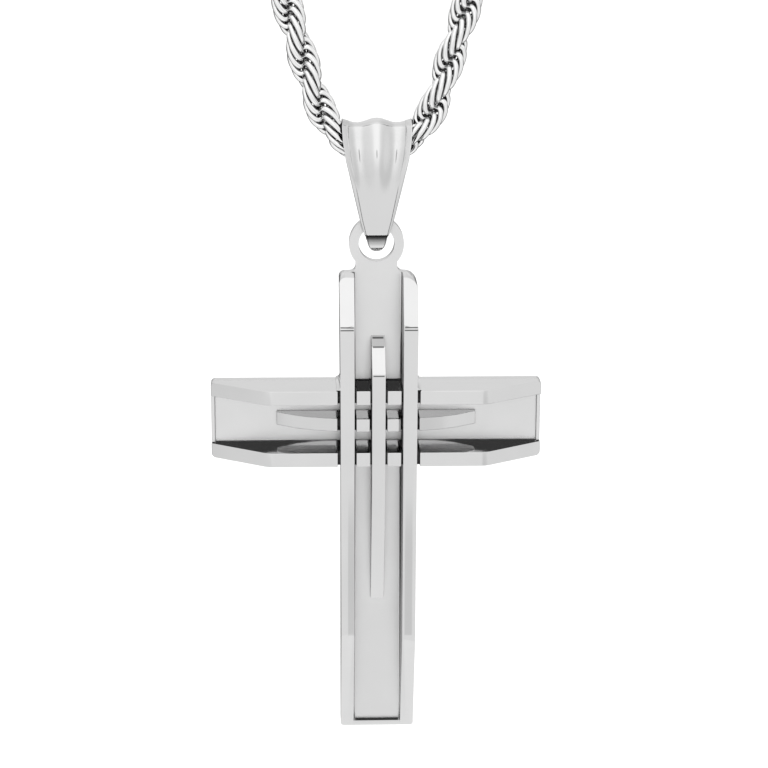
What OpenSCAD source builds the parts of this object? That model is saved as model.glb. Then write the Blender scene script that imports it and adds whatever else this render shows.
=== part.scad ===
// Layered steel cross pendant on a fluted bail and a rope chain.
// Millimetres. Seen from the front, X runs to the right. -Y is the front and +Z is up.
// The origin is under the clasp, where the necklace hangs at the nape of the neck.

/* [Cross] */
// Depth of the rails from the back of the cross to their flat crests
cross_depth = 5.5; // [4.6:0.1:7]
// Gap between the rails of the crossbar and the rails and rib of the upright
joint_gap = 0.2; // [0.08:0.01:0.3]
// Gap between the crossbar and the floor of the upright above, below and in front of it
floor_gap = 0.1; // [0.06:0.01:0.2]
// Distance of the upright's rails to the right of the middle of the ring eye and the crossbar
cross_offset = 0.15; // [0:0.01:0.3]

/* [Crossbar] */
// Length of the crossbar from end to end
bar_length = 32.8; // [28:0.2:42]
// Height of the crossbar
bar_height = 7.7; // [6.8:0.1:10]
// Thickness of the crossbar's floor
bar_floor = 0.75; // [0.5:0.05:0.8]
// Width of the two long rails of the crossbar
bar_rail = 1.4; // [1:0.05:1.8]
// Length of the flat crest between the two end slopes
bar_crest = 21.4; // [16:0.2:25]
// Depth of the crossbar's rails at its ends
bar_end_depth = 1.8; // [1.3:0.1:3]
// Length of the arched rib in the middle of the crossbar
bar_rib_length = 19.8; // [15:0.2:24]
// Width of the arched rib
bar_rib = 1.3; // [0.9:0.05:1.8]
// Depth of the arched rib at the crossing, from the back of the cross
bar_rib_depth = 4.25; // [3:0.05:4.5]
// Depth of the arched rib at its ends
bar_rib_end = 1.45; // [1.3:0.05:2]
// Width of the low lip that closes each end of the crossbar
bar_lip = 0.35; // [0.2:0.05:0.6]
// Depth of those lips, from the back of the cross
bar_lip_depth = 1.15; // [0.9:0.05:1.3]
// Radius of the crossbar's corners
bar_corner = 0.4; // [0.2:0.05:0.8]
// Radius of the round where the crossbar's crests run into their end slopes
bar_ease = 2; // [0.5:0.1:2.5]

/* [Upright] */
// Width of the upright at its top
upright_width = 7.7; // [7.2:0.05:9]
// Width of the upright from the crossing down
foot_width = 7.42; // [7:0.02:9]
// Length of the upright above the middle of the crossbar
upright_above = 14.8; // [13:0.1:20]
// Length of the upright below the middle of the crossbar
upright_below = 32.9; // [30:0.1:42]
// Thickness of the upright's floor and of the ring eye
upright_floor = 1.1; // [0.95:0.05:1.2]
// Distance between the two long rails of the upright
rail_spacing = 4.8; // [4:0.05:5.4]
// Length of the slope at the top of the rails
top_slope = 4.6; // [3:0.1:6]
// Depth of the rails at their top end
top_end_depth = 3.6; // [2.5:0.1:4.2]
// Radius of the round where the rails' crests run into their top slopes
top_ease = 1.2; // [0.3:0.1:2]
// Length of the slope at the bottom of the rails
bottom_slope = 11.1; // [7:0.1:13]
// Extra length of the left rail's bottom slope, taken from the right rail's
bottom_skew = 0.35; // [0:0.05:0.5]
// Depth of the rails at their bottom end
bottom_end_depth = 1.8; // [1.5:0.1:3]
// Lean of the rails' end slopes towards their outer edges, in degrees
slope_lean = 4; // [0:0.5:6]
// Width of the low lip that closes the bottom of the upright
upright_lip = 0.5; // [0.3:0.05:0.8]
// Radius of the upright's top left corner
left_corner = 0.6; // [0.3:0.05:1.2]
// Radius of the upright's top right corner
right_corner = 1.3; // [0.3:0.05:1.4]
// Radius of the upright's bottom corners
bottom_corner = 0.35; // [0.2:0.05:0.8]
// Radius of the fillets between the rails and the floor
rail_fillet = 0.3; // [0.1:0.05:0.4]
// Radius of the fillets between the upright's sides and the crossbar's upper side
crossing_fillet = 0.4; // [0.1:0.05:0.5]

/* [Upright rib] */
// Width of the rib in the middle of the upright
rib_width = 1.3; // [0.9:0.05:1.5]
// Depth of the rib from the back of the cross to its crest
rib_depth = 5; // [4.5:0.05:5.5]
// Height of the rib's upper end above the middle of the crossbar
rib_above = 8.4; // [7.5:0.1:10]
// Length of the rib's upper slope
rib_top_slope = 3; // [2:0.1:3.5]
// Depth of the rib at its upper end
rib_top_end = 3; // [2:0.1:4]
// Length by which the rib's upper end runs out towards the floor
rib_run_out = 0.7; // [0.3:0.1:1]
// Reach of the rib's lower end below the middle of the crossbar
rib_below = 19.1; // [16:0.1:25]
// Length of the rib's lower slope
rib_bottom_slope = 12.8; // [9:0.1:14]
// Depth of the rib at its lower end
rib_bottom_end = 1.45; // [1.3:0.05:2]

/* [Ring eye] */
// Outer radius of the ring eye
eye_radius = 2.7; // [2.55:0.05:3]
// Radius of the hole in the ring eye
eye_hole = 1.75; // [1.65:0.05:1.9]
// Height of the ring eye's centre above the top of the upright
eye_rise = 2.8; // [2.6:0.05:3.4]
// Half of the width of the neck under the ring eye
neck_half = 2.04; // [1.9:0.01:2.3]
// Radius of the fillets between neck and upright
neck_fillet = 0.6; // [0.3:0.05:0.7]

/* [Bail] */
// Width of the bail at its top
bail_width = 6.8; // [6:0.1:6.8]
// Distance from the chain's axis down to the axis of the ring eye's bar
bail_drop = 7.6; // [7:0.1:10]
// Wall of the bail at its top fold
bail_wall = 0.75; // [0.7:0.05:1]
// Wall of the bail's leaves at the ring eye
leaf_wall = 0.4; // [0.35:0.05:0.6]
// Clearance between the bail's top fold and the chain
chain_clearance = 0.35; // [0.3:0.05:0.5]
// Amount by which the fold widens at its two mouths
mouth_flare = 0.4; // [0.3:0.05:0.45]
// Length of each widened mouth
mouth_length = 0.9; // [0.8:0.1:1.2]
// Radius of the seat in which the ring eye's bar turns
seat_radius = 1.3; // [1.25:0.01:1.35]
// Reach of the front leaf's lower edge below the axis of the ring eye's bar
leaf_reach = 1.3; // [1.2:0.05:1.4]
// Reach of the bail's rounded tip below the axis of the ring eye's bar
tip_reach = 3; // [2.7:0.05:3.1]
// Radius of that tip, seen from the side
tip_radius = 1.05; // [0.9:0.05:1.2]
// Distance of the tip's centre in front of the chain's plane
tip_lead = 0.15; // [0.1:0.05:0.2]
// Distance of the tongue's front face from the chain's plane at the ring eye's bar
tongue_front = 0.7; // [0.6:0.05:0.8]
// Depth of the two flutes over the top fold
flute_depth = 0.45; // [0.2:0.05:0.5]
// Radius of the flutes
flute_radius = 2.8; // [1.4:0.1:2.8]
// Distance of each flute from the middle of the bail
flute_offset = 1.9; // [1.8:0.05:2.1]

/* [Necklace] */
// Diameter of the rope chain
chain_diameter = 2.8; // [2.4:0.1:2.9]
// Length of each end cap
cap_length = 5; // [4:0.5:5]
// Wall of the end caps
cap_wall = 0.4; // [0.3:0.05:0.6]
// Thickness of the bottom of the end caps
cap_bottom = 1; // [0.6:0.1:1.4]
// Clearance between the end caps and the chain
cap_clearance = 0.1; // [0.06:0.02:0.14]
// Radius of the wire of the caps' loops
loop_wire = 0.4; // [0.3:0.05:0.45]
// Radius of the wire of the jump rings
jump_wire = 0.35; // [0.3:0.05:0.4]
// Radius of the jump rings to the middle of their wire
jump_radius = 1.6; // [1.55:0.05:1.7]
// Clearance between the jump rings and the loops that they pass through
ring_clearance = 0.2; // [0.12:0.02:0.3]
// Width of the clasp
clasp_width = 4.4; // [3:0.1:6]
// Thickness of the clasp
clasp_thickness = 1.5; // [1:0.1:1.6]
// Width of the rims round the clasp's two holes
clasp_rim = 0.55; // [0.4:0.05:0.7]

/* [Hidden] */
$fn = 48;
reach = 80;          // Size of cutting blocks, larger than any part of the cross
run_out = 1;         // Length by which a cut runs past the face that it opens
overlap = 0.01;      // Amount by which joined shapes run into each other
ease_steps = 4;      // Facets of the round between a crest and its slope

// Route of the rope chain from its seat in the bail to its cap: distance from the middle, height
ROUTE = [[0, -260], [2.3, -260], [3.35, -259.8], [4.3, -259.1], [5, -257.7], [5.65, -255.8], [6.9, -252.2],
         [8.7, -246.2], [13, -230.5], [24, -191], [38, -140.5], [50, -97.5], [56.8, -73], [59, -57], [57, -42],
         [51, -27.5], [41.5, -15.3], [31, -6.8], [23.5, -1.2], [17.8, 1.5], [15.4, 1.9], [12.8, 1.9], [10.4, 1.9]];
ring_spacing = 12;   // Longest distance between two rings of the chain's tube on a straight stretch
bend_rings = 2;      // Rings on each short stretch of the route

chain_radius = chain_diameter / 2;
seat_z = ROUTE[0][1];                                       // Axis about which the bail swings on the chain
bar_z = seat_z - bail_drop;                                 // Axis of the ring eye's bar
eye_z = upright_above + eye_rise;                           // Centre of the ring eye above the cross's middle
cross_z = bar_z - (eye_radius + eye_hole) / 2 - eye_z;      // Middle of the crossbar
bar_top = bar_height / 2;
half_bar = bar_length / 2;
half_top = upright_width / 2;
half_foot = foot_width / 2;
half_spacing = rail_spacing / 2;
window_top = bar_top + floor_gap;
// Half of the upright's width at a height above the crossing's lower edge
function side_at(z) = half_foot + (half_top - half_foot) * (z + bar_top) / (upright_above + bar_top);

// Points of an arc, both ends included
function arc(radius, from, to, steps, centre = [0, 0]) =
    [for (i = [0:steps]) let (a = from + (to - from) * i / steps) centre + radius * [cos(a), sin(a)]];
// The same points for the other side of a symmetric outline, from the last to the first
function mirrored(points) = [for (i = [len(points) - 1:-1:0]) [-points[i][0], points[i][1]]];

// Draws an outline of the front view and gives it the depths from back to front
module face(back, front) {
    translate([0, -back, 0]) rotate([90, 0, 0]) linear_extrude(front - back) children();
}
// Draws a side view, front to the left, and gives it a width centred on the middle
module side(width) {
    translate([-width / 2, 0, 0]) rotate([90, 0, 90]) linear_extrude(width) children();
}
// Rectangle between two corners
module box2(low, high) {
    translate(low) square(high - low);
}
// What is left of a square corner outside its round, the corner at the origin and the square towards -X and -Y
module corner_waste(radius) {
    difference() {
        translate([-radius, -radius]) square(radius + run_out);
        translate([-radius, -radius]) circle(radius);
    }
}
// Puts the cross in its place: the ring eye is centred on the chain's plane
module cross_place() {
    translate([cross_offset, upright_floor / 2, cross_z]) children();
}
// Fillet in an inner corner at the origin, towards +X and +Y
module corner_fill(radius) {
    difference() {
        square(radius);
        translate([radius, radius]) circle(radius);
    }
}
// Everything in front of a slope that starts at a crest and runs down along +Z, leaning towards +X.
// The crest runs into the slope by a round with the radius ease.
module slope_cut(length, fall, lean, ease) {
    slope = atan2(fall, length);
    for (k = [1:ease_steps]) let (turn = slope * k / ease_steps)
        translate([0, 0, ease * (tan(turn / 2) - tan(slope / 2))])
            rotate([-turn, 0, 0]) rotate([0, 0, lean * k / ease_steps])
                translate([-reach / 2, -reach, -reach / 2]) cube(reach);
}

// Both rails of the upright, with their end slopes
module upright_rails() {
    for (hand = [0, 1]) mirror([hand, 0, 0])
        difference() {
            face(0, cross_depth)
                box2([half_spacing, -upright_below], [half_top, upright_above]);
            translate([(half_spacing + half_top) / 2, -cross_depth, upright_above - top_slope])
                slope_cut(top_slope, cross_depth - top_end_depth, slope_lean, top_ease);
            let (length = bottom_slope + (hand == 0 ? -bottom_skew : bottom_skew))
                translate([(half_spacing + half_foot) / 2, -cross_depth, length - upright_below])
                    mirror([0, 0, 1])
                        slope_cut(length, cross_depth - bottom_end_depth, -slope_lean, 2 * overlap);
        }
    // Fillets along the inner sides of the rails
    for (hand = [0, 1]) mirror([hand, 0, 0]) translate([half_spacing, -upright_floor, -upright_below])
        linear_extrude(upright_above + upright_below) mirror([1, 1]) translate([-overlap, -overlap])
            corner_fill(rail_fillet);
    face(0, cross_depth) crossing_fillets();
}
// Front outline of the fillets between the upright's outer sides and the crossbar
module crossing_fillets() {
    for (hand = [0, 1]) mirror([hand, 0]) translate([side_at(window_top) - overlap, window_top])
        corner_fill(crossing_fillet);
}
// Rib in the middle of the upright, high at the crossing and sloping down at both ends
module upright_rib() {
    side(rib_width) polygon([
        [0, -rib_below], [-rib_bottom_end, -rib_below], [-rib_depth, rib_bottom_slope - rib_below],
        [-rib_depth, rib_above - rib_top_slope], [-rib_top_end, rib_above - rib_run_out],
        [-upright_floor, rib_above], [0, rib_above]]);
}
// Front outline of the upright, with its neck and ring eye
module upright_outline() {
    side_line = [[half_foot, -upright_below], [half_foot, -bar_top], [half_top, upright_above]];
    difference() {
        polygon(concat(side_line, mirrored(side_line)));
        translate([half_top, upright_above]) corner_waste(right_corner);
        translate([-half_top, upright_above]) mirror([1, 0]) corner_waste(left_corner);
        for (hand = [0, 1]) mirror([hand, 0]) translate([half_foot, -upright_below]) mirror([0, 1])
            corner_waste(bottom_corner);
    }
    crossing_fillets();
    translate([-cross_offset, upright_above]) {
        box2([-neck_half, -overlap], [neck_half, eye_rise]);
        translate([0, eye_rise]) circle(eye_radius);
        for (hand = [0, 1]) mirror([hand, 0]) translate([neck_half, 0]) rotate(180) corner_waste(neck_fillet);
    }
}
module upright() {
    color("silver") cross_place() difference() {
        intersection() {
            union() {
                face(0, upright_floor)
                    box2([-half_top, -upright_below], [half_top, eye_z + eye_radius]);
                upright_rails();
                upright_rib();
                face(0, bottom_end_depth)
                    box2([-half_top, -upright_below], [half_top, upright_lip - upright_below]);
            }
            face(0, cross_depth) upright_outline();
        }
        translate([-cross_offset, run_out, eye_z]) rotate([90, 0, 0])
            cylinder(r = eye_hole, h = upright_floor + 2 * run_out);
        // Room for the crossbar's floor behind the rails and the rib
        face(-run_out, bar_floor + floor_gap)
            box2([-half_top - run_out, -window_top], [half_top + run_out, window_top]);
        // Windows in the upright's floor on both sides of the rib
        for (hand = [0, 1]) mirror([hand, 0, 0]) face(-run_out, cross_depth + run_out)
            box2([rib_width / 2, -window_top], [half_spacing, window_top]);
    }
}

// Slot in the crossbar for one rail or the rib of the upright, with the gap on both sides
module crossing_slot(from, to) {
    face(bar_floor, cross_depth + run_out)
        box2([from - joint_gap, -bar_height], [to + joint_gap, bar_height]);
}
// Half of the side outline of the arched rib: share of its half length, share of its rise
ARCH = [[1, 0], [0.81, 0.46], [0.64, 0.72], [0.4, 0.93], [0.2, 1]];
module arched_rib() {
    half = bar_rib_length / 2;
    rise = bar_rib_depth - bar_rib_end;
    outline = concat([[half, 0]], [for (p = ARCH) [p[0] * half, -bar_rib_end - p[1] * rise]]);
    translate([0, 0, -bar_rib / 2]) linear_extrude(bar_rib) polygon(concat(outline, mirrored(outline)));
}
module crossbar() {
    color("gainsboro") cross_place() difference() {
        translate([-cross_offset, 0, 0]) intersection() {
            union() {
                face(0, bar_floor) box2([-half_bar, -bar_top], [half_bar, bar_top]);
                difference() {
                    for (hand = [0, 1]) mirror([0, 0, hand])
                        face(0, cross_depth) box2([-half_bar, bar_top - bar_rail], [half_bar, bar_top]);
                    for (hand = [0, 1]) mirror([hand, 0, 0])
                        translate([bar_crest / 2, -cross_depth, 0]) rotate([0, 90, 0])
                            slope_cut(half_bar - bar_crest / 2, cross_depth - bar_end_depth, 0, bar_ease);
                }
                arched_rib();
                for (x = [-half_bar, half_bar - bar_lip])
                    face(0, bar_lip_depth) box2([x, -bar_top], [x + bar_lip, bar_top]);
            }
            face(0, cross_depth) difference() {
                box2([-half_bar, -bar_top], [half_bar, bar_top]);
                for (x = [0, 1]) for (y = [0, 1]) mirror([x, 0]) mirror([0, y])
                    translate([half_bar, bar_top]) corner_waste(bar_corner);
            }
        }
        for (hand = [0, 1]) mirror([hand, 0, 0]) crossing_slot(half_spacing, half_top);
        crossing_slot(-rib_width / 2, rib_width / 2);
    }
}

// Sections of the bail: its inner and outer radius at the chain, and the outer radius at the ring eye's bar
fold_inner = chain_radius + chain_clearance;
fold_outer = fold_inner + bail_wall;
leaf_outer = seat_radius + leaf_wall;
leaf_lean = asin((fold_outer - leaf_outer) / bail_drop);
// Distance of the leaves' outer faces from the chain's plane at a height from the chain's axis
function leaf_face(height) = (fold_outer + height * sin(leaf_lean)) / cos(leaf_lean);
// Outline round a circle of the fold and a circle of the seat, seen from the side
function drop_outline(upper, lower) =
    let (lean = asin((upper - lower) / bail_drop))
    concat(arc(upper, -lean, 180 + lean, 28), arc(lower, 180 + lean, 360 - lean, 20, [0, -bail_drop]));

// Front outline of the bail, right half from the tip up: share of the top's half width, share of the drop
BAIL_EDGE = [[0.255, -1.285], [0.34, -1.13], [0.365, -1.09], [0.5, -0.93], [0.67, -0.6], [0.8, -0.34],
             [0.9, -0.15], [0.97, 0.05], [1, 0.3], [1, 0.45]];
module bail_outline() {
    edge = [for (p = BAIL_EDGE) [p[0] * bail_width / 2, p[1] * bail_drop]];
    tip_half = edge[0][0];
    tip_top = edge[0][1];
    tip_fall = tip_top + bail_drop + tip_reach;
    // The tip is half an ellipse between the two lowest points of the edge
    tip = [for (a = [200:20:340]) [tip_half * cos(a), tip_top + tip_fall * sin(a)]];
    polygon(concat(tip, edge, mirrored(edge)));
}
module bail() {
    leaf_end = -bail_drop - leaf_reach;
    mouth_slope = mouth_flare / mouth_length;
    color("lightgray") translate([0, 0, seat_z]) difference() {
        intersection() {
            side(bail_width) {
                difference() {
                    polygon(drop_outline(fold_outer, leaf_outer));
                    box2([-fold_outer, -bail_drop - leaf_outer - run_out], [0, -bail_drop]);
                }
                // The front leaf ends in a step, and the narrower tongue comes out behind it
                polygon([[-leaf_face(-bail_drop), -bail_drop + overlap], [-leaf_face(leaf_end), leaf_end],
                         [0, leaf_end], [0, -bail_drop + overlap]]);
                polygon(concat([[leaf_outer, -bail_drop], [-tongue_front, -bail_drop]],
                               arc(tip_radius, 180, 360, 16, [-tip_lead, tip_radius - bail_drop - tip_reach])));
            }
            face(-fold_outer, fold_outer) bail_outline();
        }
        side(bail_width + run_out) polygon(drop_outline(fold_inner, seat_radius));
        for (hand = [0, 1]) mirror([hand, 0, 0]) translate([bail_width / 2 - mouth_length - run_out, 0, 0])
            rotate([0, 90, 0])
                cylinder(r1 = fold_inner - run_out * mouth_slope,
                         r2 = fold_inner + (mouth_length + run_out) * mouth_slope, h = mouth_length + 2 * run_out);
        for (x = [-flute_offset, flute_offset]) translate([x, 0, 0]) flute();
    }
}
// Groove over the top fold that fades out down the front and the back leaf
module flute() {
    ring = fold_outer - flute_depth + flute_radius;
    rotate([0, 0, 90]) rotate([90, 0, 0]) rotate_extrude(angle = 180) translate([ring, 0]) circle(flute_radius);
    for (y = [-ring, ring]) translate([0, y, -bail_drop]) cylinder(r = flute_radius, h = bail_drop);
}

// Whole route of the chain from the left cap through the bail to the right cap
route_points = concat(mirrored([for (i = [1:len(ROUTE) - 1]) ROUTE[i]]), ROUTE);
last_point = len(route_points) - 1;
function span_at(i) = norm(route_points[i + 1] - route_points[i]);
// Direction of the route at one of its points, weighted by the stretches on both sides
function heading(i) =
    i == 0 ? (route_points[1] - route_points[0]) / span_at(0)
    : i == last_point ? (route_points[i] - route_points[i - 1]) / span_at(i - 1)
    : (route_points[i + 1] - route_points[i - 1]) / (span_at(i) + span_at(i - 1));
// Point of the smooth curve between point i and the next, u from 0 to 1
function on_route(i, u) =
    route_points[i] * (2 * pow(u, 3) - 3 * pow(u, 2) + 1)
    + route_points[i + 1] * (3 * pow(u, 2) - 2 * pow(u, 3))
    + heading(i) * span_at(i) * (pow(u, 3) - 2 * pow(u, 2) + u)
    + heading(i + 1) * span_at(i) * (pow(u, 3) - pow(u, 2));
function steps_at(i) = max(bend_rings, ceil(span_at(i) / ring_spacing));
centreline = [for (i = [0:last_point - 1]) for (k = [0:steps_at(i) - 1]) on_route(i, k / steps_at(i)),
              route_points[last_point]];
// Tube with 8 sides along a line in the XZ plane
module tube(line, radius) {
    sides = 8;
    last = len(line) - 1;
    points = [for (i = [0:last])
        let (ahead = line[min(i + 1, last)] - line[max(i - 1, 0)], along = ahead / norm(ahead))
        for (k = [0:sides - 1]) let (a = 360 * (k + 0.5) / sides)
            [line[i][0] - along[1] * radius * cos(a), radius * sin(a), line[i][1] + along[0] * radius * cos(a)]];
    walls = [for (i = [0:last - 1]) for (k = [0:sides - 1]) let (next = (k + 1) % sides)
        [i * sides + next, (i + 1) * sides + next, (i + 1) * sides + k, i * sides + k]];
    ends = [[for (k = [sides - 1:-1:0]) k], [for (k = [0:sides - 1]) last * sides + k]];
    polyhedron(points, concat(ends, walls), convexity = 10);
}
module rope_chain() {
    color("darkgray") tube(centreline, chain_radius);
}

// Place of the fittings at the nape, all from the end of the chain
cap_z = ROUTE[len(ROUTE) - 1][1];
bore_x = ROUTE[len(ROUTE) - 1][0] - cap_clearance;                 // Inner face of the right cap's bottom
bore_radius = chain_radius + cap_clearance;
loop_radius = jump_wire + ring_clearance + loop_wire;              // To the middle of the loop's wire
loop_x = bore_x - cap_bottom - loop_radius - loop_wire / 2;        // The loop's wire is sunk into the cap's bottom
jump_x = loop_x - loop_radius + loop_wire + ring_clearance / 2 + jump_wire - jump_radius;
clasp_x = jump_x - jump_radius;                                    // Where a jump ring passes through the clasp

// Ring of round wire, its axis along Z
module wire_ring(radius, wire) {
    rotate_extrude() translate([radius, 0]) circle(wire);
}
// Cap on the end of the chain, with the loop that takes a jump ring
module end_cap() {
    color("silver") translate([0, 0, cap_z]) {
        difference() {
            translate([bore_x - cap_bottom, 0, 0]) rotate([0, 90, 0])
                cylinder(r = bore_radius + cap_wall, h = cap_length);
            translate([bore_x, 0, 0]) rotate([0, 90, 0]) cylinder(r = bore_radius, h = cap_length);
        }
        translate([loop_x, 0, 0]) wire_ring(loop_radius, loop_wire);
    }
}
module end_cap_left() {
    mirror([1, 0, 0]) end_cap();
}
module end_cap_right() {
    end_cap();
}
module jump_ring() {
    color("silver") translate([jump_x, 0, cap_z]) rotate([90, 0, 0]) wire_ring(jump_radius, jump_wire);
}
module jump_ring_left() {
    mirror([1, 0, 0]) jump_ring();
}
module jump_ring_right() {
    jump_ring();
}
// Plain closed clasp with an eye for each jump ring
module clasp() {
    eye = jump_wire + 2 * ring_clearance;
    color("silver") translate([0, 0, cap_z - clasp_thickness / 2]) linear_extrude(clasp_thickness) difference() {
        union() {
            for (x = [-clasp_x, clasp_x]) translate([x, 0]) circle(eye + clasp_rim);
            polygon([for (a = [0:10:350]) [clasp_x * cos(a), clasp_width / 2 * sin(a)]]);
        }
        for (x = [-clasp_x, clasp_x]) translate([x, 0]) circle(eye);
    }
}

upright();
crossbar();
bail();
rope_chain();
end_cap_left();
end_cap_right();
jump_ring_left();
jump_ring_right();
clasp();
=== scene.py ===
"""Layered steel cross pendant on a rope chain, dressed for rendering. Metres, in the CAD model's frame."""
import math

import bpy
import numpy as np
from mathutils import Matrix, Vector


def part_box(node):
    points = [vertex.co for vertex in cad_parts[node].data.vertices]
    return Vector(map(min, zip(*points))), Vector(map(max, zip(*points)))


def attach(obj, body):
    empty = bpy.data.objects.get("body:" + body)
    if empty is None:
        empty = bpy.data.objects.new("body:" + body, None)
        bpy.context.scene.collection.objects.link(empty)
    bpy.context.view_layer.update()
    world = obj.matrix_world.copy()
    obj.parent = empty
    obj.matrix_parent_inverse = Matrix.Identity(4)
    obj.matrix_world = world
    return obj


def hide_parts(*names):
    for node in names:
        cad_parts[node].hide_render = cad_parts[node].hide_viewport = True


MM = 0.001

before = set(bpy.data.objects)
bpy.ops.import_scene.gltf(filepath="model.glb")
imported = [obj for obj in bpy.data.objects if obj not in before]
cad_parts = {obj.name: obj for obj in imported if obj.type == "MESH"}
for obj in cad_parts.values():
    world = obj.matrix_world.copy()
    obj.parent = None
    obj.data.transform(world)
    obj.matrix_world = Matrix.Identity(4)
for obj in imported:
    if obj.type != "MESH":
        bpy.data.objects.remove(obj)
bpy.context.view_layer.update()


# Camera at the photograph's place: a little above the cross, looking down at it

def add_camera():
    azimuth, elevation, roll = (math.radians(a) for a in (-2.145, 15.324, 0.228))
    target = Vector((0.749, -1.45, -283.793)) * MM
    distance = 232.876 * MM
    forward = Vector((math.sin(-azimuth) * math.cos(elevation),
                      math.cos(azimuth) * math.cos(elevation), -math.sin(elevation)))
    right = Vector((math.cos(azimuth), math.sin(azimuth), 0.0))
    up = right.cross(forward)
    right, up = (right * math.cos(roll) + up * math.sin(roll),
                 up * math.cos(roll) - right * math.sin(roll))
    data = bpy.data.cameras.new("camera")
    data.sensor_width = 36.0
    data.lens = 110.175
    data.clip_start = 0.01
    data.clip_end = 20.0
    camera = bpy.data.objects.new("camera", data)
    turn = Matrix((right, up, -forward)).transposed().to_4x4()
    camera.matrix_world = Matrix.Translation(target - forward * distance) @ turn
    bpy.context.scene.collection.objects.link(camera)
    bpy.context.scene.camera = camera


add_camera()


# Materials

class Shader:
    """Short calls for the nodes that the materials and the light tent are built from."""

    def __init__(self, tree, interpolation="LINEAR"):
        self.nodes, self.links = tree.nodes, tree.links
        self.interpolation = interpolation

    def split(self, vector):
        node = self.nodes.new("ShaderNodeSeparateXYZ")
        self.links.new(vector, node.inputs["Vector"])
        return [node.outputs[axis] for axis in "XYZ"]

    def noise(self, vector, scale, detail):
        node = self.nodes.new("ShaderNodeTexNoise")
        node.inputs["Scale"].default_value = scale
        node.inputs["Detail"].default_value = detail
        self.links.new(vector, node.inputs["Vector"])
        return node.outputs["Fac"]

    def ramp(self, value, low, high, from_value, to_value):
        """Number that goes from from_value to to_value as value goes from low to high."""
        node = self.nodes.new("ShaderNodeMapRange")
        node.interpolation_type = self.interpolation
        numbers = {"From Min": low, "From Max": high, "To Min": from_value, "To Max": to_value}
        for socket, number in numbers.items():
            node.inputs[socket].default_value = number
        self.links.new(value, node.inputs["Value"])
        return node.outputs["Result"]

    def band(self, value, low, high, soft):
        """Number that is 1 from low to high and 0 beyond them, with edges that soft makes gradual."""
        return self.combine("MULTIPLY", self.ramp(value, low - soft, low + soft, 0.0, 1.0),
                            self.ramp(value, high - soft, high + soft, 1.0, 0.0))

    def combine(self, operation, first, *others):
        for other in others:
            node = self.nodes.new("ShaderNodeMath")
            node.operation = operation
            self.links.new(first, node.inputs[0])
            self.links.new(other, node.inputs[1])
            first = node.outputs["Value"]
        return first

    def scaled(self, colour, factor):
        node = self.nodes.new("ShaderNodeVectorMath")
        node.operation = "SCALE"
        self.links.new(colour, node.inputs[0])
        self.links.new(factor, node.inputs["Scale"])
        return node.outputs["Vector"]


CROSS_Z = (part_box("crossbar")[0][2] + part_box("crossbar")[1][2]) / 2
SATIN_Y = -0.63 * MM                              # Just in front of the recessed floors
WALLS_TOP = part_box("crossbar")[1][2] - 0.3 * MM   # Under the crossbar's outer upper side
RECESS_X = (2.7 * MM, 3.0 * MM)                   # The recesses lie within this distance from the middle
FLOOR_TONE, FLOOR_ROUGHNESS = 0.99, 0.3           # The recessed floors' tone is a share of the rest's
FLOOR_TILT, STRIP_TILT = 7.0, 12.0                # Degrees
STRIPS_Z = (CROSS_Z - 21.6 * MM, CROSS_Z - 3.8 * MM)
STRIPS_X = ((2.76 * MM, 3.52 * MM), (-2.9 * MM, -2.2 * MM))
# Reach along x and heights of the painted dark reflection lines at the rounded crease edges: left rail, right
# rail and rib
PAINTED_CREASE_LINES = [((-3.62 * MM, -2.32 * MM), (-277.19 * MM, -277.46 * MM)),
           ((2.62 * MM, 3.9 * MM), (-277.19 * MM, -277.46 * MM)),
           ((-0.4 * MM, 0.7 * MM), (-279.18 * MM, -279.76 * MM, -282.2 * MM))]


def new_material(name):
    material = bpy.data.materials.new(name)
    material.use_nodes = True
    return material, material.node_tree.nodes["Principled BSDF"]


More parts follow.
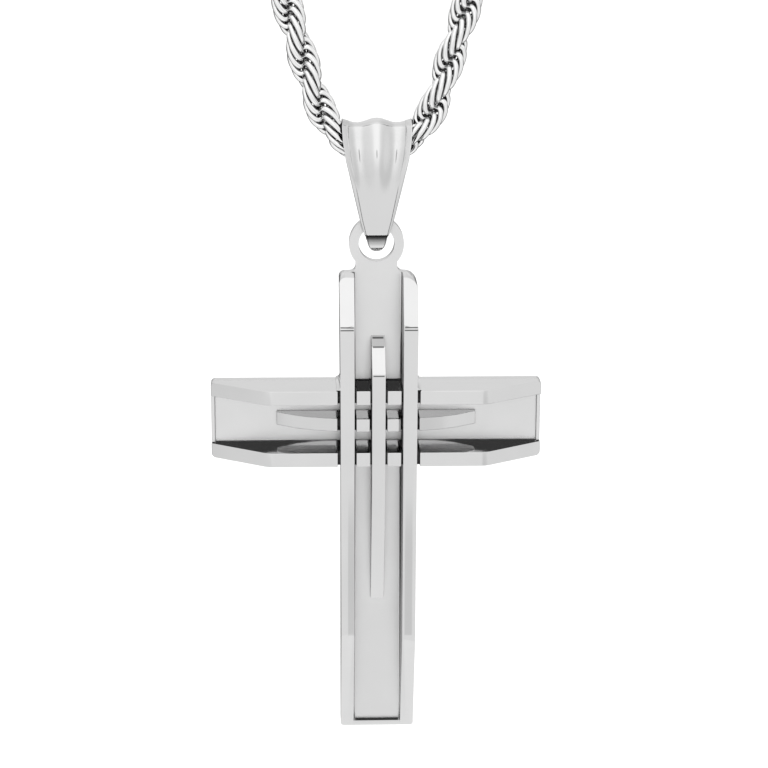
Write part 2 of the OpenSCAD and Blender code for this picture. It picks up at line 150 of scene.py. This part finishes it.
def bar_finish(shader, coordinates, colour, rough, roughness, draft=None, strips=False, painted_crease_lines=()):
    """Finish of one of the cross's bars: its colour, its roughness and its shading normal.

    roughness is that of its polished faces. draft is the lean in degrees of the walls that face up.
    strips says whether its rails have polished strips, and painted_crease_lines are the dark lines of
    painted reflection across its front.
    """
    x, y, z = shader.split(coordinates.outputs["Object"])
    facing_x, facing_y, facing_z = shader.split(coordinates.outputs["Normal"])
    direct = shader.nodes.new("ShaderNodeLightPath").outputs["Is Camera Ray"]
    indirect = shader.ramp(direct, 0.0, 1.0, 1.0, 0.0)

    def in_recess(from_value, to_value):
        return shader.ramp(y, SATIN_Y - 0.02 * MM, SATIN_Y + 0.02 * MM, from_value, to_value)

    # The satin scatters what is seen directly. The polished walls beside it reflect it as smooth.
    colour = shader.scaled(colour, in_recess(1.0, FLOOR_TONE))
    satin = shader.combine("MULTIPLY", in_recess(0.0, FLOOR_ROUGHNESS - roughness), direct)
    # Painted light: for reflected rays the colour of level walls is brightened up to twice,
    # as if they glowed onto the steel beside them; those that face up also scatter it
    level = shader.ramp(shader.combine("MULTIPLY", facing_z, facing_z), 0.36, 0.64, 0.0, 0.6)
    painted_bounce = shader.combine("MULTIPLY", level, indirect)
    colour = shader.scaled(colour, shader.ramp(painted_bounce, 0.0, 1.0, 1.0, 2.0))
    scattered = shader.combine("MULTIPLY", shader.ramp(facing_z, 0.6, 0.8, 0.0, 0.9), indirect)
    # The sides of the recesses are less polished than the rest
    sideways = shader.ramp(shader.combine("MULTIPLY", facing_x, facing_x), 0.7, 0.9, 0.0, 0.45)
    inside = shader.ramp(shader.combine("MULTIPLY", x, x), *(reach ** 2 for reach in RECESS_X), 1.0, 0.0)
    rough = shader.combine("ADD", rough, satin, scattered, shader.combine("MULTIPLY", sideways, inside))
    # Painted reflection: fine dark lines painted into the colour across the front, where the rounded crease
    # edges would show the dark room
    for (left, right), heights in painted_crease_lines:
        soft = 0.04 * MM
        across = shader.combine("MULTIPLY", shader.band(x, left, right, soft),
                                shader.ramp(facing_y, -0.3, -0.1, 1.0, 0.0))
        for height in heights:
            line = shader.band(z, height - 1.5 * soft, height + 1.5 * soft, soft / 2)
            line = shader.combine("MULTIPLY", line, across)
            colour = shader.scaled(colour, shader.ramp(line, 0.0, 1.0, 1.0, 0.2))

    # The recessed floors lean back a little, so that they show the light in front and not the walls below
    tilt = shader.nodes.new("ShaderNodeCombineXYZ")
    front = shader.ramp(facing_y, -0.97, -0.9, 1.0, 0.0)
    raised = in_recess(0.0, math.tan(math.radians(FLOOR_TILT)))
    shader.links.new(shader.combine("MULTIPLY", raised, direct, front), tilt.inputs["Z"])
    if draft:
        # Walls that face up lean forward by a few degrees, as cast ones do
        lean = shader.ramp(facing_z, 0.6, 0.8, 0.0, -math.tan(math.radians(draft)))
        under = shader.ramp(z, WALLS_TOP - 0.05 * MM, WALLS_TOP + 0.05 * MM, 1.0, 0.0)
        shader.links.new(shader.combine("MULTIPLY", lean, under), tilt.inputs["Y"])
    if strips:
        # Slightly tilted strips along the rails' fronts, left by the polishing wheel, which fade upwards
        low, high = STRIPS_Z
        soft = 0.06 * MM
        along = shader.combine("MULTIPLY", shader.ramp(z, low - soft, low + soft, 0.0, 1.0),
                               shader.ramp(z, (low + high) / 2, high, 1.0, 0.0), front)
        across = shader.combine("ADD", *(shader.band(x, left, right, soft) for left, right in STRIPS_X))
        strip = shader.ramp(shader.combine("MULTIPLY", along, across),
                            0.0, 1.0, 0.0, math.tan(math.radians(STRIP_TILT)))
        shader.links.new(strip, tilt.inputs["X"])
    leaning = shader.nodes.new("ShaderNodeVectorMath")
    shader.links.new(coordinates.outputs["Normal"], leaning.inputs[0])
    shader.links.new(tilt.outputs["Vector"], leaning.inputs[1])
    turned = shader.nodes.new("ShaderNodeVectorTransform")
    turned.vector_type = "NORMAL"
    turned.convert_from = "OBJECT"
    turned.convert_to = "WORLD"
    shader.links.new(leaning.outputs["Vector"], turned.inputs["Vector"])
    return colour, rough, turned.outputs["Vector"]


def steel(name, tone, shade, roughness, spread, grain, relief, wobble, crevice_shade=None, painted_shadow=None, bar=None):
    """Polished steel with a fine grain.

    Its brightness goes from tone down to shade times tone in the clouds left by polishing by hand, and its
    roughness varies by spread. grain is the grain's frequency along each axis, per metre. relief and
    wobble are the heights in millimetres of the grain and of the broad unevenness. crevice_shade is painted
    shade, the colour darkened in narrow gaps: its reach in millimetres, and the openness at which it is
    full and at which it ends. painted_shadow gives the heights where a painted shadow begins, is fullest
    and ends. bar holds what bar_finish needs, for the two bars of the cross.
    """
    material, surface = new_material(name)
    surface.inputs["Metallic"].default_value = 1.0
    shader = Shader(material.node_tree)
    coordinates = shader.nodes.new("ShaderNodeTexCoord")
    place = coordinates.outputs["Object"]
    # Brushed grain: long streaks that change height and gloss
    stretch = shader.nodes.new("ShaderNodeMapping")
    stretch.inputs["Scale"].default_value = grain
    shader.links.new(place, stretch.inputs["Vector"])
    streaks = shader.noise(stretch.outputs["Vector"], 1.0, 4.0)
    clouds = shader.nodes.new("ShaderNodeValToRGB")
    for element, position, gray in zip(clouds.color_ramp.elements, (0.3, 0.7), (tone * shade, tone)):
        element.position = position
        element.color = (gray, gray, gray, 1.0)
    shader.links.new(shader.noise(place, 260.0, 3.0), clouds.inputs["Fac"])
    colour = clouds.outputs["Color"]
    rough = shader.ramp(streaks, 0.25, 0.75, roughness - spread, roughness + spread)
    broad = shader.nodes.new("ShaderNodeBump")
    broad.inputs["Distance"].default_value = wobble * MM
    shader.links.new(shader.noise(place, 170.0, 1.0), broad.inputs["Height"])
    if bar:
        colour, rough, normal = bar_finish(shader, coordinates, colour, rough, roughness, **bar)
        shader.links.new(normal, broad.inputs["Normal"])
    # Painted shade: ambient occlusion darkens the colour in narrow gaps and corners, where shade falls
    if crevice_shade:
        reach, full, none = crevice_shade
        hollow = shader.nodes.new("ShaderNodeAmbientOcclusion")
        hollow.samples = 8
        hollow.inputs["Distance"].default_value = reach * MM
        colour = shader.scaled(colour, shader.ramp(hollow.outputs["AO"], full, none, 0.06, 1.0))
    # Painted shadow: the colour darkens over the given band of heights, as under the bail's rolled lip
    if painted_shadow:
        low, high, top = painted_shadow
        height = shader.split(place)[2]
        dark = shader.combine("MULTIPLY", shader.ramp(height, low, high, 0.0, 0.8),
                              shader.ramp(height, top, top + 0.02 * MM, 1.0, 0.0))
        colour = shader.scaled(colour, shader.ramp(dark, 0.0, 1.0, 1.0, 0.0))
    fine = shader.nodes.new("ShaderNodeBump")
    fine.inputs["Distance"].default_value = relief * MM
    shader.links.new(streaks, fine.inputs["Height"])
    shader.links.new(broad.outputs["Normal"], fine.inputs["Normal"])
    shader.links.new(colour, surface.inputs["Base Color"])
    shader.links.new(rough, surface.inputs["Roughness"])
    shader.links.new(fine.outputs["Normal"], surface.inputs["Normal"])
    return material


upright_steel = steel("upright_steel", 0.605, 0.97, 0.07, 0.02, (9000, 9000, 500), 0.0003, 0.03,
                      crevice_shade=(0.25, 0.2, 0.62), bar={"strips": True, "painted_crease_lines": PAINTED_CREASE_LINES})
crossbar_steel = steel("crossbar_steel", 0.605, 0.97, 0.07, 0.02, (500, 9000, 9000), 0.0003, 0.03,
                       crevice_shade=(0.25, 0.2, 0.62), bar={"draft": 6.0})
# Near-black finish of the strips of painted shade in the joints between the bars
gap_shade_steel = steel("gap_shade_steel", 0.06, 0.8, 0.4, 0.05, (5000, 5000, 5000), 0.002, 0.002)
bail_steel = steel("bail_steel", 0.61, 0.97, 0.06, 0.02, (6000, 6000, 900), 0.0003, 0.02,
                   crevice_shade=(1.2, 0.62, 0.97), painted_shadow=(-269.9 * MM, -269.15 * MM, -268.9 * MM))
wire_steel = steel("wire_steel", 0.79, 0.95, 0.08, 0.02, (3000, 3000, 3000), 0.0004, 0.002,
                   crevice_shade=(0.8, 0.2, 0.52))
fitting_steel = steel("fitting_steel", 0.62, 0.97, 0.1, 0.03, (4000, 4000, 900), 0.0004, 0.01)


def add_mesh(name, vertices, faces, material):
    mesh = bpy.data.meshes.new(name)
    mesh.from_pydata(vertices.tolist(), [], faces.tolist())
    mesh.materials.append(material)
    mesh.polygons.foreach_set("use_smooth", [True] * len(mesh.polygons))
    mesh.update()
    piece = bpy.data.objects.new(name, mesh)
    bpy.context.scene.collection.objects.link(piece)
    return piece


# CAD parts: faces joined, edges rounded as by a polishing wheel

def dress(name, material, edge, angle=25.0):
    """edge is the rounding's width in millimetres, for edges sharper than angle in degrees."""
    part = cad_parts[name]
    part.data.materials.clear()
    part.data.materials.append(material)
    for polygon in part.data.polygons:
        polygon.use_smooth = True
    weld = part.modifiers.new("weld", "WELD")
    weld.merge_threshold = 0.0015 * MM
    flat = part.modifiers.new("flat", "DECIMATE")
    flat.decimate_type = "DISSOLVE"
    flat.angle_limit = math.radians(0.6)
    bevel = part.modifiers.new("bevel", "BEVEL")
    bevel.width = edge * MM
    bevel.segments = 3
    bevel.limit_method = "ANGLE"
    bevel.angle_limit = math.radians(angle)
    bevel.miter_outer = "MITER_ARC"
    bevel.use_clamp_overlap = True
    normals = part.modifiers.new("normals", "WEIGHTED_NORMAL")
    normals.mode = "FACE_AREA"
    normals.weight = 60


dress("upright", upright_steel, 0.16)
dress("crossbar", crossbar_steel, 0.16)
for node in ("end_cap_left", "end_cap_right", "jump_ring_left", "jump_ring_right", "clasp"):
    dress(node, fitting_steel, 0.12, 40.0)


# Painted shade: near-black strips with a hollow front, put in the joints between the crossbar's rails and the
# upright's where shade falls

CROSS_OFFSET = 0.15    # The upright's middle, right of the crossbar's
SHADE_STRIP_BACK = -0.25      # Depth at which the seams end
SHADE_STRIP_HOLLOW = 0.08     # Depth of their hollow front
# From the upright's middle to the joints' two sides, at its rib, its rails' inner sides and their outer sides
SHADE_STRIP_SIDES = ((0.65, 0.85), (2.2, 2.4), (3.74, 4.05))
# Lower and upper end from the crossbar's middle, and depth behind its front: lower rail, rib, upper rail
SHADE_STRIP_ENDS = ((-3.8, -2.5, 0.5), (-0.6, 0.6, 1.75), (2.5, 3.8, 0.5))


def gap_shade_mesh():
    low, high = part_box("crossbar")
    middle = (low[0] + high[0]) / 2 / MM + CROSS_OFFSET
    front = low[1] / MM
    height = CROSS_Z / MM
    steps = 6
    vertices, faces = [], []
    for x_low, x_high in SHADE_STRIP_SIDES:
        for hand in (-1, 1):
            for z_low, z_high, depth in SHADE_STRIP_ENDS:
                start = len(vertices)
                for u in np.linspace(0, 1, steps + 1):
                    x = middle + hand * (x_low + (x_high - x_low) * u)
                    hollow = depth + SHADE_STRIP_HOLLOW * (1 - (2 * u - 1) ** 2)
                    for y in (front + hollow, SHADE_STRIP_BACK):
                        vertices += [(x, y, height + z_low), (x, y, height + z_high)]
                for k in range(steps):
                    a = start + 4 * k
                    faces += [(a, a + 1, a + 5, a + 4), (a + 2, a + 6, a + 7, a + 3),
                              (a, a + 4, a + 6, a + 2), (a + 1, a + 3, a + 7, a + 5)]
                end = start + 4 * steps
                faces += [(start, start + 2, start + 3, start + 1), (end, end + 1, end + 3, end + 2)]
    return np.array(vertices) * MM, np.array(faces)


shade_strips = add_mesh("gap_shade_strips", *gap_shade_mesh(), gap_shade_steel)
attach(shade_strips, "cross")


# Bail: one fluted strip folded over the chain, drawn as a closed band whose section goes once round its wall

SEAT_Z = -260.0
FOLD_OUTER, FOLD_INNER = 2.5, 1.75       # Radii of the fold round the chain
CROWN, CHEST = 1.6, 6.0                  # Radii of its front, on both sides of where it leans by CROWN_END
CROWN_END = 40.0                         # Degrees
LEAF_LEAN = 10.3                         # Degrees by which the front leaf runs inwards on its way down
FOLD_WALL = (0.51, 0.75)                 # Thickness of the front and the back at the chain's axis
LEAF_OUTER, SEAT_RADIUS = 1.7, 1.3       # Radii round the bar of the ring eye
DROP = 7.6                               # From the chain's axis down to that bar
LIP_Z, LIP = -8.9, 0.32                  # Height and radius of the front leaf's rolled lower edge
TONGUE_Y, TONGUE_TOP = -0.98, -8.8       # Front of the tongue where it comes out under the lip
FLUTE_DEPTH, FLUTE_SHARE = 0.44, 0.57    # The flutes' deepest lines lie at that share of the half width
# Half width of the bail at heights from the chain's axis
BAIL_WIDTH = [(-10.62, 0.05), (-10.57, 0.2), (-10.47, 0.43), (-10.35, 0.6), (-10.17, 0.76), (-9.9, 0.89),
              (-9.6, 0.97), (-9.19, 1.03), (-8.9, 1.2), (-8.25, 1.37), (-7.26, 1.66), (-4.56, 2.278),
              (-2.58, 2.72), (-1.14, 3.06), (0.38, 3.3), (1.6, 3.39), (3.42, 3.4)]


def arc(radius, first, last, steps, centre=(0.0, 0.0)):
    turns = np.radians(np.linspace(first, last, steps + 1))
    return np.stack([centre[0] + radius * np.cos(turns), centre[1] + radius * np.sin(turns)], -1)


def straight(first, last, steps):
    """Points between two points, without these."""
    return np.linspace(first, last, steps + 1)[1:-1]


def band_outline():
    """Side view of the bail's outer face as a closed line, front to the left, starting at the tongue."""
    crown_z = FOLD_OUTER - CROWN
    crown = arc(CROWN, CROWN_END, 90, 22, (0, crown_z))
    step = math.radians(CROWN_END)
    chest_centre = ((CROWN - CHEST) * math.cos(step), crown_z + (CROWN - CHEST) * math.sin(step))
    chest = arc(CHEST, -LEAF_LEAN, CROWN_END, 30, chest_centre)
    front = np.vstack([chest, crown[1:]]) * (-1, 1)

    def leaf_depth(z):
        return -front[0, 0] + (z - front[0, 1]) * math.tan(math.radians(LEAF_LEAN))

    tongue = (TONGUE_Y, TONGUE_TOP)
    tip = arc(1.05, 180, 350, 24, (-0.15, -9.55))
    back = np.array([(1.3, -8.66), (1.53, -8.25), (1.66, -7.95)])
    fold = np.vstack([arc(FOLD_OUTER, -6, 90, 34)[:-1], front[::-1]])
    foot_z = LIP_Z + LIP
    rolled = arc(LIP, 180 + LEAF_LEAN, 278, 8, (LIP - leaf_depth(foot_z), foot_z))
    return np.vstack([[tongue], straight(tongue, tip[0], 6), tip, back,
                      straight(back[-1], fold[0], 26), fold, straight(fold[-1], rolled[0], 30), rolled])


def across_wall(y, z):
    """Point of the bail's inner face that lies behind a point of its outer face."""
    front, back = FOLD_WALL
    if z > 0:
        distance = math.hypot(y, z)
        scale = min(FOLD_INNER, distance - front) / distance
        return y * scale, z * scale
    if z < -DROP:
        scale = SEAT_RADIUS / math.hypot(y, z + DROP)
        return y * scale, (z + DROP) * scale - DROP
    # The leaves get thinner from the fold down to the seat
    wall = back if y > 0 else front
    wall += (LEAF_OUTER - SEAT_RADIUS - wall) * -z / DROP
    return math.copysign(abs(y) - wall, y), z


def bail_section():
    """Closed line round the wall: share of the half width, and share of the thickness, from 0 inside."""
    top = [(x, 1.0) for x in np.linspace(-0.81, 0.81, 57)]
    # A fine line sets off a narrow, slightly sloping strip along each edge
    right = [(0.822, 0.985), (0.834, 0.9), (0.846, 0.9), (0.858, 0.98), (0.872, 0.985), (0.93, 0.95),
             (0.965, 0.9), (0.985, 0.8), (0.997, 0.65), (1.0, 0.5), (1.0, 0.3), (0.99, 0.12), (0.97, 0.03),
             (0.94, 0.0)]
    inside = [(x, 0.0) for x in np.linspace(0.88, -0.88, 23)]
    left = [(-x, h) for x, h in reversed(right)]
    return np.array(top + right + inside + left)


def bail_mesh():
    outer = band_outline()
    inner = np.array([across_wall(y, z) for y, z in outer])
    heights, widths = np.array(BAIL_WIDTH).T
    half = np.interp(outer[:, 1], heights, widths)
    half = (np.roll(half, 1) + 2 * half + np.roll(half, -1)) / 4
    section = bail_section()
    share, level = section[:, 0][None, :], section[:, 1][None, :]
    x = half[:, None] * share
    # Flutes: two shallow grooves that start on the fold and fade out down the leaves
    fade = np.clip((outer[:, 1] + 5.6) / 5.0, 0, 1)
    fade = (fade * fade * (3 - 2 * fade))[:, None]
    groove = FLUTE_DEPTH * fade * (0.5 - 0.5 * np.cos(math.pi * share / FLUTE_SHARE))
    groove = groove * np.clip(level * 4 - 3, 0, 1)
    # Mouths: the inner face opens towards both sides of the fold
    near_fold = np.clip((outer[:, 1] + 3.2) / 2.2, 0, 1)[:, None]
    mouth = 0.4 * near_fold * np.clip((np.abs(x) - 2.5) / 0.9, 0, 1) * (1 - level)
    wall = outer - inner
    thickness = np.linalg.norm(wall, axis=1)[:, None]
    out = wall / thickness
    depth = level * thickness - groove + mouth
    y = inner[:, :1] + out[:, :1] * depth
    z = inner[:, 1:] + out[:, 1:] * depth + SEAT_Z
    vertices = np.stack([x, y, z], -1).reshape(-1, 3) * MM
    index = np.arange(len(outer) * len(section)).reshape(len(outer), len(section))
    ahead = np.roll(index, -1, axis=0)
    faces = np.stack([index, np.roll(index, -1, axis=1), np.roll(ahead, -1, axis=1), ahead], -1)
    return vertices, faces.reshape(-1, 4)


bail = add_mesh("bail_band", *bail_mesh(), bail_steel)
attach(bail, "bail")
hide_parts("bail")


# Rope chain: two families of soldered wire rings, wound round each other along the necklace's route

# Right half of the route from the seat in the bail to the cap, in millimetres
ROUTE = [(0, -260.0), (1.4, -260.0), (2.4, -259.9), (3.4, -259.35), (4.6, -258.0), (5.5, -256.4),
         (6.9, -252.3), (8.7, -246.2), (13, -230.5), (24, -191), (38, -140.5), (50, -97.5), (56.8, -73),
         (58.75, -57), (57, -42), (51, -27.5), (41.5, -15.3), (31, -6.8), (23.5, -1.2), (17.8, 1.5),
         (15.4, 1.9), (12.8, 1.9), (10.4, 1.9)]
LOBE = 5.05             # Length of one lobe of the rope
SEAT_LOBE = 4.4         # The same inside the bail, where the rope is pressed together
NEAR_LOBES = 6          # Lobes on each side of the bail whose wire is drawn finer
RINGS_PER_LOBE = 14
RING_LENGTH = 1.35      # Half of a ring's length, to the middle of its wire
RING_WIDTH = 0.74       # Half of its width
WIRE = 0.265            # Radius of the wire
SHIFT = 0.5             # Distance of a ring's centre from the rope's axis
TILT = math.radians(7)  # Turn of the rings out of the rope's direction


def smooth_route(corners):
    """Points and directions along the smooth curve through the corners, with distances from its middle."""
    right = np.array(corners, float)
    points = np.vstack([right[:0:-1] * (-1, 1), right])
    spans = np.linalg.norm(np.diff(points, axis=0), axis=1)
    heads = np.empty_like(points)
    heads[0] = (points[1] - points[0]) / spans[0]
    heads[-1] = (points[-1] - points[-2]) / spans[-1]
    heads[1:-1] = (points[2:] - points[:-2]) / (spans[1:] + spans[:-1])[:, None]
    u = np.linspace(0, 1, 60, endpoint=False)[:, None]
    pieces = [points[i] * (2 * u**3 - 3 * u**2 + 1) + points[i + 1] * (3 * u**2 - 2 * u**3)
              + heads[i] * spans[i] * (u**3 - 2 * u**2 + u) + heads[i + 1] * spans[i] * (u**3 - u**2)
              for i in range(len(spans))]
    line = np.vstack(pieces + [points[-1:]])
    distance = np.concatenate([[0], np.cumsum(np.linalg.norm(np.diff(line, axis=0), axis=1))])
    ahead = np.gradient(line, distance, axis=0)
    return line, ahead / np.linalg.norm(ahead, axis=1)[:, None], distance - distance[-1] / 2


def rope_rings(route, first, last, around, across):
    """Vertices and faces of the rings from lobe first to lobe last.

    around is the number of steps along each ring, and across the number round its wire.
    """
    line, ahead, distance = route
    count = int(round((last - first) * RINGS_PER_LOBE))
    number = round(first * RINGS_PER_LOBE) + np.arange(count)
    lobe = (number + 0.5) / RINGS_PER_LOBE
    outside = np.sign(lobe) * (SEAT_LOBE + LOBE * (np.abs(lobe) - 1))
    place = np.where(np.abs(lobe) < 1, lobe * SEAT_LOBE, outside)
    centre, along = (np.stack([np.interp(place, distance, values[:, 0]), 0 * place,
                               np.interp(place, distance, values[:, 1])], -1) for values in (line, ahead))
    along /= np.linalg.norm(along, axis=1)[:, None]
    back = np.broadcast_to((0.0, 1.0, 0.0), along.shape)
    side = np.cross(back, along)
    phase = (math.pi / 2 + math.pi * lobe + math.pi * (number % 2))[:, None]
    outward = side * np.cos(phase) + back * np.sin(phase)
    onward = back * np.cos(phase) - side * np.sin(phase)
    long = onward * math.sin(TILT) - along * math.cos(TILT)
    normal = np.cross(long, outward)
    t = np.linspace(0, 2 * math.pi, around, endpoint=False)[None, :, None, None]
    w = np.linspace(0, 2 * math.pi, across, endpoint=False)[None, None, :, None]
    long, outward, normal = (v[:, None, None, :] for v in (long, outward, normal))
    wire_line = long * np.cos(t) * RING_LENGTH + outward * np.sin(t) * RING_WIDTH
    wire_ahead = outward * np.cos(t) * RING_WIDTH - long * np.sin(t) * RING_LENGTH
    wire_ahead /= np.linalg.norm(wire_ahead, axis=-1, keepdims=True)
    spoke = np.cross(wire_ahead, normal)
    vertices = (centre[:, None, None, :] + outward * SHIFT + wire_line
                + (spoke * np.cos(w) + normal * np.sin(w)) * WIRE)
    index = np.arange(count * around * across).reshape(count, around, across)
    nearby = np.roll(index, -1, axis=1)
    faces = np.stack([index, nearby, np.roll(nearby, -1, axis=2), np.roll(index, -1, axis=2)], -1)
    return vertices.reshape(-1, 3) * MM, faces.reshape(-1, 4)


route = smooth_route(ROUTE)
half_length = route[2][-1]
last_ring = math.floor((half_length - SEAT_LOBE - RING_LENGTH) / LOBE * RINGS_PER_LOBE)
last_lobe = last_ring / RINGS_PER_LOBE + 1
for name, first, last, around, across in (
        ("rope_left", -last_lobe, -NEAR_LOBES, 18, 6),
        ("rope_middle", -NEAR_LOBES, NEAR_LOBES, 40, 12),
        ("rope_right", NEAR_LOBES, last_lobe, 18, 6)):
    rope = add_mesh(name, *rope_rings(route, first, last, around, across), wire_steel)
    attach(rope, "necklace")
    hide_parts("rope_chain")


# Studio: plain pale floor under the hanging cross and soft light from all around

def add_floor():
    size = 4.0
    depth = -0.36
    corners = [(-size, -size, depth), (size, -size, depth), (size, size, depth), (-size, size, depth)]
    material, surface = new_material("floor_white")
    surface.inputs["Base Color"].default_value = (0.88, 0.88, 0.88, 1.0)
    surface.inputs["Roughness"].default_value = 1.0
    surface.inputs["Specular IOR Level"].default_value = 0.0
    floor = add_mesh("floor", np.array(corners), np.array([(0, 1, 2, 3)]), material)
    floor.visible_glossy = False


def add_soft_box():
    """Soft light from above. The steel shows the tent alone, so the box leaves no shape in it."""
    data = bpy.data.lights.new("soft_box_top", "AREA")
    data.shape = "RECTANGLE"
    data.size = data.size_y = 0.6
    data.energy = 3.0
    light = bpy.data.objects.new("soft_box_top", data)
    light.visible_glossy = False
    place, target = Vector((0, 0.05, 0.6)), Vector((0, 0, -0.3))
    turn = (target - place).to_track_quat("-Z", "Y").to_matrix().to_4x4()
    light.matrix_world = Matrix.Translation(place) @ turn
    bpy.context.scene.collection.objects.link(light)


def add_world():
    """Light tent: brightness by direction, dark round the camera, where the room shows in its opening."""
    world = bpy.data.worlds.new("studio")
    world.use_nodes = True
    bpy.context.scene.world = world
    shader = Shader(world.node_tree, "SMOOTHSTEP")
    ramp, combine, links = shader.ramp, shader.combine, shader.links
    background = shader.nodes["Background"]
    background.inputs["Color"].default_value = (1.0, 1.0, 1.0, 1.0)
    direction = shader.nodes.new("ShaderNodeTexCoord").outputs["Generated"]
    x, y, z = shader.split(direction)
    # Brightest high in front, even behind, dark low behind, where only edges and steep walls look
    high = combine("MULTIPLY", ramp(z, -0.42, 0.45, 0.0, 0.37), ramp(y, -0.15, 0.3, 1.0, 0.0))
    wide = combine("MULTIPLY", ramp(x, -0.6, -0.25, 0.3, 1.0), ramp(x, 0.25, 0.6, 1.0, 0.3))
    tall = combine("ADD", combine("MULTIPLY", high, wide), ramp(z, -1.0, -0.55, 1.24, 1.13))
    sides = combine("MULTIPLY", ramp(x, -1.0, -0.86, 0.55, 1.0), ramp(x, 0.93, 1.0, 1.0, 0.6))
    dip = combine("ADD", ramp(x, 0.1, 0.4, 1.0, 0.83), ramp(x, 0.5, 0.8, 0.0, 0.14))
    sides = combine("MULTIPLY", sides, combine("MULTIPLY", ramp(x, -0.45, -0.1, 0.94, 1.0), dip))
    low_behind = combine("ADD", ramp(z, -0.12, 0.12, 0.85, 0.14), ramp(z, 0.35, 0.6, 0.0, -0.14))
    low_behind = combine("MULTIPLY", ramp(y, 0.0, 0.4, 0.0, 1.0), low_behind)
    behind = shader.nodes.new("ShaderNodeMath")
    behind.operation = "SUBTRACT"
    behind.inputs[0].default_value = 1.0
    links.new(low_behind, behind.inputs[1])
    even = combine("MULTIPLY", combine("MULTIPLY", tall, sides), behind.outputs["Value"])
    # The tent's opening round the camera. Light that has been reflected twice, as in the corners of the
    # recesses, finds all of it dark, and the rest only the lens.
    ray = shader.nodes.new("ShaderNodeLightPath")
    shallow = ramp(ray.outputs["Ray Depth"], 2.0, 3.0, 4.0, 0.0)
    camera_x = -0.037    # How far the direction towards the camera points sideways

    def opening(half_wide, half_tall, elevation, dark, added=None):
        """Factor that is dark inside an oval of that half size, in degrees, and 1 outside it.

        Rays for which something is added to the distance from the oval's middle don't find it dark.
        """
        scale = [1 / math.sin(math.radians(half_wide)), 0.0, 1 / math.sin(math.radians(half_tall))]
        centre = (camera_x, 0.0, math.sin(math.radians(elevation)))
        offset = shader.nodes.new("ShaderNodeVectorMath")
        offset.operation = "MULTIPLY_ADD"
        offset.inputs[1].default_value = scale
        offset.inputs[2].default_value = [-a * b for a, b in zip(scale, centre)]
        links.new(direction, offset.inputs[0])
        length = shader.nodes.new("ShaderNodeVectorMath")
        length.operation = "LENGTH"
        links.new(offset.outputs["Vector"], length.inputs[0])
        apart = combine("ADD", length.outputs["Value"], ramp(y, -0.2, 0.2, 0.0, 4.0))
        if added:
            apart = combine("ADD", apart, added)
        return ramp(apart, 0.8, 1.15, dark, 1.0)

    value = combine("MULTIPLY", even, opening(40, 25, 18, 0.06, shallow))
    value = combine("MULTIPLY", value, opening(4, 8, 15.3, 0.5))
    # What the camera sees past the floor's edge is plain and pale
    seen = shader.nodes.new("ShaderNodeMix")
    seen.inputs["B"].default_value = 1.05
    links.new(ray.outputs["Is Camera Ray"], seen.inputs["Factor"])
    links.new(value, seen.inputs["A"])
    links.new(seen.outputs["Result"], background.inputs["Strength"])


add_floor()
add_soft_box()
add_world()
bpy.context.scene.view_settings.view_transform = "Standard"
